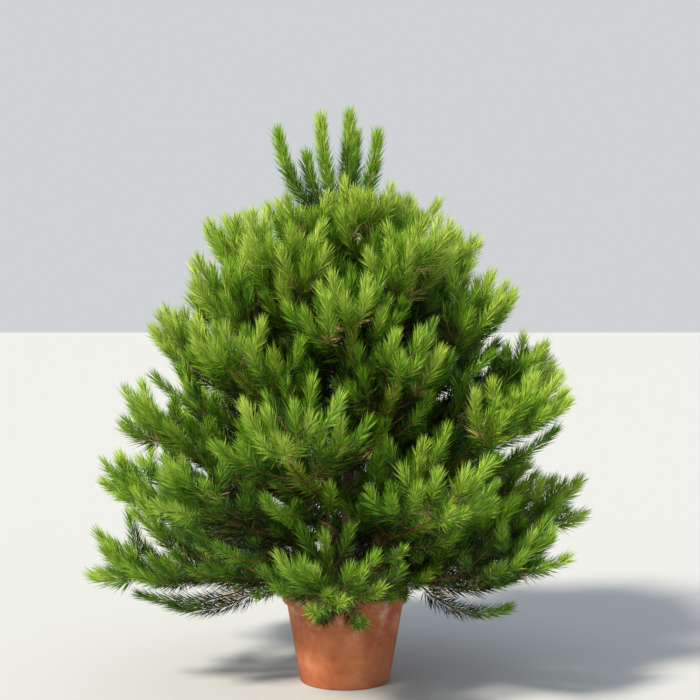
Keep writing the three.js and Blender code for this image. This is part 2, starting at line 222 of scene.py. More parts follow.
def limbDistances(points):
    # From each point to each mass's limb
    a = limbPaths[:, :-1]
    ab = limbPaths[:, 1:] - a
    ap = points[:, None, None, :] - a[None]
    t = np.clip((ap * ab).sum(-1) / (ab * ab).sum(-1), 0, 1)
    gap = ap - t[..., None] * ab
    return np.sqrt((gap * gap).sum(-1)).min(-1)


def clearOfWood(points, room=0.0):
    # True where a point is outside the pot and that far outside the trunk
    fromAxis = np.hypot(points[:, 0], points[:, 1])
    potTop = points[:, 2] < potSizes["height"] + clear["pot"]
    inPot = potTop & (fromAxis < potSizes["rimRadius"] + clear["pot"])
    fromTrunk = np.linalg.norm(points - trunkCentre(points[:, 2]), axis=1) - trunkRadius(points[:, 2])
    inTrunk = (points[:, 2] < trunkSizes["top"]) & (fromTrunk < room)
    return ~inPot & ~inTrunk


def inReach(points, beyond):
    lowest, highest = np.array(cadBox)
    return ((points > lowest - beyond) & (points < highest + beyond)).all(axis=1)


def inOwnSpace(points, index, margin):
    # A mass keeps to the points that are nearer to its own limb than to any other
    distances = limbDistances(points)
    own = distances[:, index]
    others = np.delete(distances, index, axis=1).min(axis=1)
    nearest = others - own > 2 * margin
    return nearest & clearOfWood(points, clear["trunk"]) & inReach(points, reach["shoot"])


def sideShoots(limb, nodes, seed, rule):
    shoots = []
    for n, node in enumerate(nodes):
        for k, turn in enumerate(rule["rolls"][n % 2]):
            chance = [draw(seed, 20 + n * 12 + k * 4 + i) for i in range(4)]
            t = node + stray["node"] * chance[0]
            along = limb.directions(t)[0]
            level = unit(np.cross(along, upWay))
            above = np.cross(level, along)
            roll = math.radians(turn + stray["roll"] * chance[1])
            spread = math.radians(rule["spread"] + stray["spread"] * chance[2])
            outward = level * math.sin(roll) + above * math.cos(roll)
            leaving = along * math.cos(spread) + outward * math.sin(spread)
            arriving = leaving + limb.arriving + rule["upward"] * upWay
            length = rule["share"] * limb.length * (1 - t) + rule["extra"]
            length *= 1 + rule["lengthStray"] * chance[3]
            thickness = max(rule["tipRadius"], limb.radii(t)[0] * rule["thickness"])
            shoots.append(Limb(limb.points(t)[0], leaving, arriving, length, thickness, rule["tipRadius"]))
    return shoots


def trimmed(shoot, index, rule):
    # Cut short where it would leave its mass's space, or None if little would remain
    steps = 10
    shares = np.arange(2, steps + 1) / steps
    kept = inOwnSpace(shoot.points(shares), index, rule["margin"])
    if kept.all():
        return shoot
    share = (1 + int(np.argmin(kept))) / steps
    if share * shoot.length < rule["least"]:
        return None
    return Limb(shoot.start, shoot.leaving, shoot.directions(share)[0], shoot.length * share,
                shoot.rootRadius, shoot.tipRadius)


def keptShoots(shoots, index, rule):
    cut = [trimmed(shoot, index, rule) for shoot in shoots]
    return [shoot for shoot in cut if shoot]


def grownShoots():
    # Every shoot with its order: 0 a main limb, 1 a side twig, 2 a fine side shoot
    found = []
    for index, mass in enumerate(masses):
        limb, seed = mass["limb"], mass["seed"]
        found.append({"shoot": limb, "order": 0, "bare": mass["bare"] + pastBough, "mass": index})
        fines = []
        if mass["nodes"]:
            fines += sideShoots(limb, fineRule["limbNodes"], fineRule["limbSeed"] + seed, fineRule)
        sides = keptShoots(sideShoots(limb, mass["nodes"], seed, twigRule), index, twigRule)
        for k, side in enumerate(sides):
            found.append({"shoot": side, "order": 1, "bare": twigRule["bare"], "mass": index})
            fines += sideShoots(side, fineRule["nodes"], fineRule["twigSeed"] + 16 * seed + k, fineRule)
        for fine in keptShoots(fines, index, fineRule):
            found.append({"shoot": fine, "order": 2, "bare": fineRule["bare"], "mass": index})
    return found


grown = grownShoots()
print("shoots grown:", len(grown), [sum(g["order"] == o for g in grown) for o in range(3)])


def srgb(code):
    # A hex colour as the linear values that Blender works in
    channels = [int(code[i:i + 2], 16) / 255 for i in (1, 3, 5)]
    linear = [c / 12.92 if c <= 0.04045 else ((c + 0.055) / 1.055) ** 2.4 for c in channels]
    return (*linear, 1.0)


def addNode(tree, kind, inputs=None, stops=(), **settings):
    # Adds a node with its settings. An input takes a socket, a node's first output or a plain
    # value, and the stops of a colour ramp are pairs of a position and a hex colour.
    node = tree.nodes.new(kind)
    for name, value in settings.items():
        setattr(node, name, value)
    for k, (position, code) in enumerate(stops):
        node.color_ramp.elements[k].position = position
        node.color_ramp.elements[k].color = srgb(code)
    for name, value in (inputs or {}).items():
        if isinstance(value, bpy.types.Node):
            value = value.outputs[0]
        if isinstance(value, bpy.types.NodeSocket):
            tree.links.new(value, node.inputs[name])
        else:
            node.inputs[name].default_value = value
    return node


def newMaterial(name, code, roughness, ior=1.45):
    material = bpy.data.materials.new(name)
    material.use_nodes = True
    shader = material.node_tree.nodes["Principled BSDF"]
    shader.inputs["Base Color"].default_value = srgb(code)
    shader.inputs["Roughness"].default_value = roughness
    shader.inputs["IOR"].default_value = ior
    return material, material.node_tree, shader


def dress(tree, shader, colour, bump):
    tree.links.new(colour, shader.inputs["Base Color"])
    tree.links.new(bump.outputs[0], shader.inputs["Normal"])


def newTree(name, inputs):
    tree = bpy.data.node_groups.new(name, "GeometryNodeTree")
    tree.interface.new_socket("Geometry", in_out="INPUT", socket_type="NodeSocketGeometry")
    for label, kind in inputs.items():
        tree.interface.new_socket(label, in_out="INPUT", socket_type="NodeSocket" + kind)
    tree.interface.new_socket("Geometry", in_out="OUTPUT", socket_type="NodeSocketGeometry")
    return tree, addNode(tree, "NodeGroupInput").outputs


def closeTree(tree, geometry, material):
    # Every tree ends in real geometry with its material set
    real = addNode(tree, "GeometryNodeRealizeInstances", {"Geometry": geometry})
    finished = addNode(tree, "GeometryNodeSetMaterial", {"Geometry": real, "Material": material})
    addNode(tree, "NodeGroupOutput", {"Geometry": finished})


def placeObject(name, data):
    thing = bpy.data.objects.new(name, data)
    bpy.context.scene.collection.objects.link(thing)
    return thing


def meshObject(name, vertices, faces=(), edges=(), attributes=None):
    # The attributes are what a tree reads, a number or a vector for each vertex
    mesh = bpy.data.meshes.new(name)
    mesh.from_pydata([tuple(v) for v in vertices], edges, faces)
    mesh.update()
    for label, values in (attributes or {}).items():
        vector = np.ndim(values) == 2
        layer = mesh.attributes.new(label, "FLOAT_VECTOR" if vector else "FLOAT", "POINT")
        layer.data.foreach_set("vector" if vector else "value", np.asarray(values, np.float32).ravel())
    return placeObject(name, mesh)


def makePlain(thing, modifier):
    # What the modifier makes becomes the object's own mesh
    graph = bpy.context.evaluated_depsgraph_get()
    mesh = bpy.data.meshes.new_from_object(thing.evaluated_get(graph), depsgraph=graph)
    thing.modifiers.remove(modifier)
    mesh.name = thing.name
    thing.data = mesh


def runTree(piece, tree, values):
    # Puts a tree on an object, with its named inputs, and keeps the result as a plain mesh
    modifier = piece.modifiers.new("growth", "NODES")
    modifier.node_group = tree
    for item in tree.interface.items_tree:
        if item.in_out == "INPUT" and item.name in values:
            modifier[item.identifier] = values[item.name]
    makePlain(piece, modifier)


def settle(piece, slotName, *nodes):
    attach(piece, "root")
    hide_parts(*nodes)
    print(piece.name, len(piece.data.polygons), "faces")


def finish(piece, material, slotName, *nodes):
    piece.data.materials.clear()
    piece.data.materials.append(material)
    piece.data.shade_smooth()
    settle(piece, slotName, *nodes)


foliageNodes = [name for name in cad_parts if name.startswith("foliage_")]
boughNodes = [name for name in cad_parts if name.startswith("bough_")]

# Needles
needleSizes = {
    "width": 0.0031,  # about twice life, as there are fewer of them
    "thickness": 0.002,
    "widest": 0.4,  # share of the length
    "total": 270000,  # of all the needles, shared out by density
    # Spread is in degrees at a shoot's tip and at its foot, tuft the needles at its end
    "side": {"length": 0.068, "density": 1.0, "spread": (20, 44), "upward": 0.14, "tuft": 16},
    "top": {"length": 0.072, "density": 1.9, "spread": (20, 44), "upward": 0.06, "tuft": 30},
    "limb": {"length": 0.068, "density": 0.8, "spread": (21, 47), "upward": 0.18, "tuft": 20},
    "lengths": (0.8, 1.06),  # the shortest and the longest, as shares of the length
    "turnStray": 0.3, "spreadStray": 0.09, "spreadCurve": 0.8,
    "tuftDepth": 0.03,  # share of a shoot that the tuft at its end covers
    "seat": 0.7,  # how far out in the wood a needle starts, as a share of its radius
    "strawAge": 0.8, "strawShare": 0.7, "strawShoots": 0.2,
    "roughness": 0.4, "seed": 4,
}
# The tints run from old inner needles to this year's growth, and at the same time from painted shade to
# painted sunlight: lit and shaded copies of the needle green
needleTints = [
    {"name": "straw", "colour": "#cdb676"},  # the dead ones
    # The darkest living tint: old needles in painted shade
    {"name": "old", "colour": "#30310c", "share": 0.06},
    {"name": "shade", "colour": "#122406", "share": 0.14},
    {"name": "deep", "colour": "#2a490c", "share": 0.18},
    {"name": "middle", "colour": "#4a7614", "share": 0.18},
    {"name": "leaf", "colour": "#66961c", "share": 0.18},
    {"name": "sunny", "colour": "#86b02c", "share": 0.16},
    # The palest tint: this year's growth in painted sunlight
    {"name": "fresh", "colour": "#abc64e"},  # all that are left
]
# What stands before a shoot, in metres, and the percentile of crowding that leaves it in shade
sunlight = {"ahead": 0.03, "within": 0.28, "nearAxis": 0.2, "crowded": 90, "open": 1.05}
# What moves a needle along the tints: painted light from its shoot's exposure and painted light higher up,
# age down, which is partly real age and partly painted shade at a shoot's foot, and a leading shoot down
toneRule = {
    "sun": 0.62, "sunCurve": 1.5, "age": 0.75, "ageSteps": 3, "leading": -0.3, "upper": 0.2,
    "shootStray": 0.32, "needleStray": 0.14,
    "dead": -9,  # far below any other tone
}
goldenTurn = math.radians(137.508)
slantWay = np.array([0.31, 0.17, 0.93])  # a way that no shoot points


def needleRule(entry):
    if masses[entry["mass"]]["top"]:
        return needleSizes["top"]
    return needleSizes["side"] if entry["order"] else needleSizes["limb"]


def needlesOn(entry, perMetre, rng):
    # Places, aims, lengths and ages of one shoot's needles, spiralling from foot to tip
    shoot, first = entry["shoot"], entry["bare"]
    rule = needleRule(entry)
    tuft = rule["tuft"]
    body = int(perMetre * rule["density"] * shoot.length * (1 - first))
    count = body + tuft
    t = np.empty(count)
    t[:body] = first + (1 - first) * (np.arange(body) + rng.random(body)) / max(body, 1)
    t[body:] = 1 - needleSizes["tuftDepth"] * rng.random(tuft)
    age = (1 - t) / (1 - first)
    along = shoot.directions(t)
    level = unit(np.cross(along, slantWay))
    across = np.cross(along, level)
    roll = (np.arange(count) * goldenTurn + rng.normal(0, needleSizes["turnStray"], count))[:, None]
    outward = level * np.cos(roll) + across * np.sin(roll)
    spread = np.radians(mix(*rule["spread"], age ** needleSizes["spreadCurve"]))
    spread[body:] *= rng.random(tuft)
    spread = (spread + rng.normal(0, needleSizes["spreadStray"], count))[:, None]
    aim = unit(along * np.cos(spread) + outward * np.sin(spread) + upWay * rule["upward"])
    length = rule["length"] * rng.uniform(*needleSizes["lengths"], count)
    place = shoot.points(t) + outward * shoot.radii(t)[:, None] * needleSizes["seat"]
    return place, aim, length, age


def exposures(tips):
    # A shoot is in the sun where few others stand outwards of it and above it
    outward = tips * np.array([1, 1, 0])
    fromAxis = np.maximum(np.linalg.norm(outward, axis=1), sunlight["nearAxis"])
    outward = unit(outward / fromAxis[:, None] + upWay)
    apart = tips[None] - tips[:, None]
    before = (apart * outward[:, None]).sum(-1) > sunlight["ahead"]
    crowd = (before & (np.linalg.norm(apart, axis=2) < sunlight["within"])).sum(1)
    exposure = np.clip(sunlight["open"] - crowd / np.percentile(crowd, sunlight["crowded"]), 0, 1)
    # The leading shoots are painted as if in full sun
    exposure[[masses[entry["mass"]]["top"] for entry in grown]] = 1.0
    return exposure


def needleTones(top, exposure, height, age, rng):
    # Where one shoot's needles lie between the first tint and the last: painted light and shade from its
    # exposure and height, with its age
    # Darker in steps towards the shoot's foot: the older needles, and painted shade inside the brush where
    # the tip catches the light
    spray = np.floor(age * toneRule["ageSteps"]) / toneRule["ageSteps"]
    tone = toneRule["sun"] * exposure ** toneRule["sunCurve"] - toneRule["age"] * spray
    tone = tone + toneRule["shootStray"] * rng.random()
    # Painted light: higher shoots are lighter, and a leading shoot is taken a step down from its painted
    # full sun
    tone = tone + toneRule["leading"] * top + toneRule["upper"] * height
    tone = tone + rng.normal(0, toneRule["needleStray"], len(age))
    # Dead straw needles still hang at the feet of some shoots
    strawy = rng.random() < needleSizes["strawShoots"] and not top
    dead = (age > needleSizes["strawAge"]) & (rng.random(len(age)) < needleSizes["strawShare"])
    tone[dead & strawy] = toneRule["dead"]
    return tone


def allNeedles():
    rng = np.random.default_rng(needleSizes["seed"])
    tips = np.array([entry["shoot"].points(1.0)[0] for entry in grown])
    exposure = exposures(tips)
    tufts = sum(needleRule(entry)["tuft"] for entry in grown)
    metres = sum(needleRule(e)["density"] * e["shoot"].length * (1 - e["bare"]) for e in grown)
    perMetre = (needleSizes["total"] - tufts) / metres
    print("needled length", round(metres, 1), "m,", round(perMetre), "needles a metre")
    rows = []
    for k, entry in enumerate(grown):
        place, aim, length, age = needlesOn(entry, perMetre, rng)
        top = masses[entry["mass"]]["top"]
        rows.append((place, aim, length, needleTones(top, exposure[k], tips[k, 2], age, rng)))
    place, aim, length, tone = (np.concatenate([row[i] for row in rows]) for i in range(4))
    middles = place + aim * length[:, None] * 0.5
    ends = place + aim * length[:, None]
    kept = clearOfWood(place, clear["needleFoot"]) & clearOfWood(middles)
    kept &= clearOfWood(ends) & inReach(ends, reach["needle"])
    return place[kept], aim[kept], length[kept], tone[kept]


def needleTree():
    tree, given = newTree("needleBrush", {
        "Needle": "Object", "Width": "Float", "Seed": "Int", "Material": "Material"})
    needle = addNode(tree, "GeometryNodeObjectInfo", {"Object": given["Needle"]})
    aim = addNode(tree, "GeometryNodeInputNamedAttribute", {"Name": "aim"}, data_type="FLOAT_VECTOR")
    length = addNode(tree, "GeometryNodeInputNamedAttribute", {"Name": "size"}, data_type="FLOAT")
    facing = addNode(tree, "FunctionNodeAlignRotationToVector", {
        "Vector": aim.outputs["Attribute"]}, axis="Z")
    spin = addNode(tree, "FunctionNodeRandomValue", {
        "Seed": given["Seed"], 3: 2 * math.pi}, data_type="FLOAT")
    turn = addNode(tree, "ShaderNodeCombineXYZ", {"Z": spin.outputs[1]})
    turned = addNode(tree, "FunctionNodeRotateRotation", {
        "Rotation": facing.outputs["Rotation"], "Rotate By": turn}, rotation_space="LOCAL")
    scale = addNode(tree, "ShaderNodeCombineXYZ", {
        "X": given["Width"], "Y": given["Width"], "Z": length.outputs["Attribute"]})
    placed = addNode(tree, "GeometryNodeInstanceOnPoints", {
        "Points": given["Geometry"], "Instance": needle.outputs["Geometry"],
        "Rotation": turned, "Scale": scale})
    closeTree(tree, placed, given["Material"])
    return tree


def needlePattern():
    # One needle, a unit long: thin at the foot, widest near the middle, pointed
    depth = needleSizes["thickness"] / needleSizes["width"]
    belly = needleSizes["widest"]
    corners = [(0, 0, 0), (-0.5, 0.5 * depth, belly), (0.5, 0.5 * depth, belly), (0, -0.5 * depth, 1)]
    return meshObject("needlePattern", corners, [(0, 1, 2), (0, 2, 3), (0, 3, 1), (1, 3, 2)])


def pineNeedle(tint):
    # Green leaf under a firm coat of wax: a soft sheen over the tint of its age, with painted light and
    # shade
    return newMaterial(f"pineNeedle_{tint['name']}", tint["colour"], needleSizes["roughness"])[0]


def makeNeedles():
    place, aim, length, tone = allNeedles()
    pattern, tree = needlePattern(), needleTree()
    # Sorted by tone the dead ones come first, and each later tint takes its share
    order = np.argsort(tone, kind="stable")
    ends = [int((tone == toneRule["dead"]).sum())]
    for tint in needleTints[1:-1]:
        ends.append(ends[-1] + int(tint["share"] * len(order)))
    for k, chosen in enumerate(np.split(order, ends)):
        tint = needleTints[k]
        values = {"aim": aim[chosen], "size": length[chosen]}
        piece = meshObject(f"needles_{tint['name']}", place[chosen], attributes=values)
        runTree(piece, tree, {
            "Needle": pattern, "Width": needleSizes["width"], "Seed": k, "Material": pineNeedle(tint)})
        settle(piece, "needles", *foliageNodes)
    bpy.data.objects.remove(pattern)


makeNeedles()

# Young wood under the needles
twigSizes = {
    "sides": 5, "stops": {1: 8, 2: 5},  # along a side twig and a fine side shoot
    "look": {"plate": 0.004, "stretch": 0.35, "low": "#5f4426", "high": "#b08a52", "relief": 0.0004},
}
# Shared by young and old bark: grains to a plate, a crack's share of it, where the tints start
barkPattern = {"grains": 3, "crack": 0.16, "dark": 0.12, "pale": 0.62, "strength": 0.8}


def twigTree():
    tree, given = newTree("twigTubes", {"Sides": "Int", "Material": "Material"})
    girth = addNode(tree, "GeometryNodeInputNamedAttribute", {"Name": "girth"}, data_type="FLOAT")
    line = addNode(tree, "GeometryNodeMeshToCurve", {"Mesh": given["Geometry"]})
    ring = addNode(tree, "GeometryNodeCurvePrimitiveCircle", {"Resolution": given["Sides"], "Radius": 1.0})
    tube = addNode(tree, "GeometryNodeCurveToMesh", {
        "Curve": line, "Profile Curve": ring,
        "Scale": girth.outputs["Attribute"], "Fill Caps": True})
    closeTree(tree, tube, given["Material"])
    return tree


def barkNodes(tree, look):
    # Flaking plates of bark: paler faces, darker cracks, and a bump that follows them
    place = addNode(tree, "ShaderNodeTexCoord").outputs["Object"]
    along = addNode(tree, "ShaderNodeMapping", {"Vector": place, "Scale": (1, 1, look["stretch"])})
    plates = addNode(tree, "ShaderNodeTexVoronoi", {
        "Vector": along, "Scale": 1 / look["plate"]}, feature="DISTANCE_TO_EDGE")
    grain = addNode(tree, "ShaderNodeTexNoise", {
        "Vector": along, "Scale": barkPattern["grains"] / look["plate"], "Detail": 5.0})
    cracks = addNode(tree, "ShaderNodeMapRange", {
        "Value": plates.outputs["Distance"], "From Max": barkPattern["crack"]})
    height = addNode(tree, "ShaderNodeMath", {0: cracks, 1: grain}, operation="MULTIPLY")
    ramp = addNode(tree, "ShaderNodeValToRGB", {"Fac": height}, stops=[
        (barkPattern["dark"], look["low"]), (barkPattern["pale"], look["high"])])
    bump = addNode(tree, "ShaderNodeBump", {
        "Height": height, "Distance": look["relief"], "Strength": barkPattern["strength"]})
    return ramp.outputs[0], bump


def youngPineBark():
    # Young pine bark, smooth and resinous: straw to orange-brown, with fine scale scars
    material, tree, shader = newMaterial("youngPineBark", "#9b7445", 0.62)
    dress(tree, shader, *barkNodes(tree, twigSizes["look"]))
    return material


def makeTwigs():
    points, edges, girth = [], [], []
    for entry in grown:
        if entry["order"] == 0:
            continue  # the bark covers the main limbs
        stops = twigSizes["stops"][entry["order"]]
        t = np.linspace(0, 1, stops)
        first = len(points)
        points.extend(entry["shoot"].points(t))
        girth.extend(entry["shoot"].radii(t))
        edges.extend((first + i, first + i + 1) for i in range(stops - 1))
    piece = meshObject("twigs", points, edges=edges, attributes={"girth": girth})
    runTree(piece, twigTree(), {"Sides": twigSizes["sides"], "Material": youngPineBark()})
    piece.data.shade_smooth()
    settle(piece, "young_bark", *foliageNodes)


makeTwigs()

# Trunk and boughs with the bark's relief
barkSizes = {
    "trunkSides": 56, "trunkRings": 330, "ringCurve": 1.25,  # rings lie closer low down
    "sunk": 0.012,  # how far the bark goes on below the soil's level
    "plate": 0.016, "plateStretch": 0.3, "depth": 0.0022, "depthFade": 1.3,
    "crack": 0.28, "wander": 0.35, "wanderPace": 0.6, "grain": 0.0004, "grainPace": 260, "seed": 1,
    "knuckle": 0.0042, "knuckleLength": 0.016, "topKnuckle": 0.7, "topLength": 0.02,
    "limbSides": 14, "limbRings": 64, "limbPlate": 0.011, "limbStretch": 0.8, "limbDepth": 0.0007,
    "thinLimb": 0.006,  # cracks get shallower on a limb thinner than this
    "collar": 0.5, "collarLength": 0.02, "nodeKnuckle": 0.3, "nodeLength": 0.012,
    "look": {"plate": 0.012, "stretch": 0.35, "low": "#3a2a1f", "high": "#8a7560", "relief": 0.0016},
    "flake": 0.01111, "flakesUp": (0.5, 1.3), "flakesOut": (0.03, 0.4), "flakesOutMost": 0.8,
}


def fissures(x, y, z, plate, stretch):
    # 0 on a plate's face and 1 in the crack between two plates
    where = Vector((x / plate, y / plate, z * stretch / plate))
    wander = noise.noise_vector(where * barkSizes["wanderPace"]) * barkSizes["wander"]
    near = noise.voronoi(where + wander)[0]
    crack = max(0.0, 1 - (near[1] - near[0]) / barkSizes["crack"])
    return crack * crack * (3 - 2 * crack)


def closedTube(places):
    # Faces of a tube with a point at each end, from the places of its rings
    rings, sides = places.shape[:2]
    vertices = list(places.reshape(-1, 3))
    faces = []
    for r in range(rings - 1):
        for s in range(sides):
            n = (s + 1) % sides
            faces.append((r * sides + s, r * sides + n, (r + 1) * sides + n, (r + 1) * sides + s))
    vertices.append(places[0].mean(axis=0))
    vertices.append(places[-1].mean(axis=0))
    foot, tip = rings * sides, rings * sides + 1
    for s in range(sides):
        n = (s + 1) % sides
        faces.append((foot, n, s))
        faces.append((tip, (rings - 1) * sides + s, (rings - 1) * sides + n))
    return vertices, faces


def trunkSkin():
    b = barkSizes
    rings, sides = b["trunkRings"], b["trunkSides"]
    share = np.linspace(0, 1, rings) ** b["ringCurve"]
    level = mix(soilSizes["level"] - b["sunk"], trunkSizes["top"], share)
    angle = roundAngles(sides)
    places = np.empty((rings, sides, 3))
    for r, z in enumerate(level):
        above = max(z - soilSizes["level"], 0)
        knuckle = sum(math.exp(-((z - row["height"]) / b["knuckleLength"]) ** 2) for row in whorls)
        fromTop = (z - topShoots["height"] - b["topLength"]) / b["topLength"]
        knuckle += math.exp(-fromTop ** 2) * b["topKnuckle"]
        wood = float(trunkRadius(z))
        base = wood + b["knuckle"] * knuckle * (wood / trunkSizes["footRadius"]) ** 0.5
        depth = b["depth"] * (base / trunkSizes["footRadius"]) ** b["depthFade"]
        centre = trunkCentre(z)
        for s, a in enumerate(angle):
            root = trunkSizes["rootMean"] + trunkSizes["rootSwing"] * math.cos(trunkSizes["roots"] * a)
            flare = trunkSizes["flareRadius"] * root * math.exp(-above / trunkSizes["flareHeight"])
            radius = base + flare
            x, y = math.sin(a) * radius, -math.cos(a) * radius
            crack = fissures(x, y, z, b["plate"], b["plateStretch"])
            rough = noise.fractal(Vector((x, y, z * 0.5)) * b["grainPace"], 0.9, 2.1, 3) * b["grain"]
            radius += rough - depth * crack
            places[r, s] = (centre[0] + radius * math.sin(a), centre[1] - radius * math.cos(a), z)
    return closedTube(places)


def limbSkin(limb, nodes):
    b = barkSizes
    rings, sides = b["limbRings"], b["limbSides"]
    t = np.linspace(0, 1, rings)
    centre, along, radii = limb.points(t), limb.directions(t), limb.radii(t)
    side = unit(np.cross(limb.leaving, limb.arriving))
    across = np.cross(along, side)
    angle = roundAngles(sides)
    # A collar where it leaves the trunk, and a knuckle at each whorl of twigs
    girth = 1 + b["collar"] * np.exp(-t * limb.length / b["collarLength"])
    for node in nodes:
        girth += b["nodeKnuckle"] * np.exp(-(((t - node) * limb.length) / b["nodeLength"]) ** 2)
    places = np.empty((rings, sides, 3))
    for r in range(rings):
        fade = min(1.0, radii[r] / b["thinLimb"])
        for s, a in enumerate(angle):
            outward = side * math.cos(a) + across[r] * math.sin(a)
            x, y, z = centre[r] + outward * radii[r]
            crack = fissures(x, y, z, b["limbPlate"], b["limbStretch"])
            radius = radii[r] * girth[r] - b["limbDepth"] * crack * fade
            places[r, s] = centre[r] + outward * radius
    return closedTube(places[:, ::-1])


def scalyPineBark():
    # Pine bark: grey-brown plates low down, thin orange-brown flakes above, dull all over
    b = barkSizes
    material, tree, shader = newMaterial("scalyPineBark", "#6f5540", 0.88)
    plates, bump = barkNodes(tree, b["look"])
    place = addNode(tree, "ShaderNodeTexCoord").outputs["Object"]
    noisy = addNode(tree, "ShaderNodeTexNoise", {"Vector": place, "Scale": 1 / b["flake"], "Detail": 6.0})
    flakes = addNode(tree, "ShaderNodeValToRGB", {"Fac": noisy}, stops=[
        (0.35, "#70431f"), (0.68, "#b9824c")])
    height = addNode(tree, "ShaderNodeSeparateXYZ", {"Vector": place}).outputs["Z"]
    level = addNode(tree, "ShaderNodeVectorMath", {0: place, 1: (1, 1, 0)}, operation="MULTIPLY")
    fromAxis = addNode(tree, "ShaderNodeVectorMath", {0: level}, operation="LENGTH")
    outer = addNode(tree, "ShaderNodeMapRange", {
        "Value": fromAxis.outputs["Value"], "From Min": b["flakesOut"][0], "From Max": b["flakesOut"][1],
        "To Max": b["flakesOutMost"]})
    upper = addNode(tree, "ShaderNodeMapRange", {
        "Value": height, "From Min": b["flakesUp"][0], "From Max": b["flakesUp"][1]})
    most = addNode(tree, "ShaderNodeMath", {0: outer, 1: upper}, operation="MAXIMUM")
    blend = addNode(tree, "ShaderNodeMix", {"Factor": most, 6: plates, 7: flakes}, data_type="RGBA")
    dress(tree, shader, blend.outputs[2], bump)
    return material


def makeBark():
    noise.seed_set(barkSizes["seed"])  # or the clock seeds noise_vector
    vertices, faces = trunkSkin()
    for mass in masses:
        more, moreFaces = limbSkin(mass["limb"], mass["nodes"])
        first = len(vertices)
        vertices.extend(more)
        faces.extend(tuple(first + i for i in face) for face in moreFaces)
    piece = meshObject("bark", vertices, faces)
    finish(piece, scalyPineBark(), "bark", "trunk", *boughNodes, *foliageNodes)


makeBark()

# The pot. Sizes of the clay's patterns in metres, and where bloom and damp lie
clayLook = {
    "cloud": 0.1111, "limePatch": 0.0625, "limeFrom": 0.16, "limeFull": 0.31, "dampTop": 0.09,
    "grit": 0.001429, "gritHeight": 0.0006,  # coarser than life, to show
}


def roundedCorner(profile, at, before, after, radius, steps=5):
    # Points of a small arc that rounds the corner at, as a quadratic curve
    at, before, after = np.array(at), np.array(before), np.array(after)
    start, end = at + unit(before - at) * radius, at + unit(after - at) * radius
    for i in range(steps + 1):
        t = i / steps
        profile.append((1 - t) ** 2 * start + 2 * t * (1 - t) * at + t * t * end)


def discFaces(rings, sides):
    # Faces of a skin that spreads from point 0: a fan, then rings of points outwards
    faces = []
    for k in range(sides):
        n = (k + 1) % sides
        faces.append((0, 1 + n, 1 + k))
        for r in range(rings - 1):
            low, high = 1 + r * sides, 1 + (r + 1) * sides
            faces.append((low + k, low + n, high + n, high + k))
    return faces


def innerWall(z):
    # Radius of the pot's inside at a height
    s = potSizes
    slope = (s["shoulderRadius"] - s["footRadius"]) / (s["height"] - s["rimBand"])
    return s["footRadius"] + slope * z - s["wall"]


def potProfile():
    # Radius and height from the middle of the underside, up the outside and down the inside
    s = potSizes
    bandFoot = s["height"] - s["rimBand"]
    corners = [
        (0.0, 0.0), (s["footRadius"], 0.0), (s["shoulderRadius"], bandFoot), (s["rimRadius"], bandFoot),
        (s["rimRadius"], s["height"]), (innerWall(s["height"]), s["height"]),
        (innerWall(s["floor"]), s["floor"]), (0.0, s["floor"]),
    ]
    profile = []
    for k in range(1, len(corners) - 1):
        roundedCorner(profile, corners[k], corners[k - 1], corners[k + 1], s["edge"])
    filled = [(0.0, 0.0)]
    for point in profile + [np.array(corners[-1])]:
        start = np.array(filled[-1])
        pieces = max(1, int(np.hypot(*(point - start)) / s["meshStep"]))
        filled.extend(tuple(mix(start, point, (i + 1) / pieces)) for i in range(pieces))
    return filled


def drillDrains(pot):
    s = potSizes
    for i in range(s["drains"]):
        a = 2 * math.pi * i / s["drains"]
        bpy.ops.mesh.primitive_cylinder_add(
            vertices=s["drainSides"], radius=s["drainRadius"], depth=s["floor"] * 3,
            location=(math.cos(a) * s["drainCircle"], math.sin(a) * s["drainCircle"], 0))
        drill = bpy.context.object
        cut = pot.modifiers.new("drain", "BOOLEAN")
        cut.operation, cut.solver, cut.object = "DIFFERENCE", "EXACT", drill
        makePlain(pot, cut)
        bpy.data.objects.remove(drill)


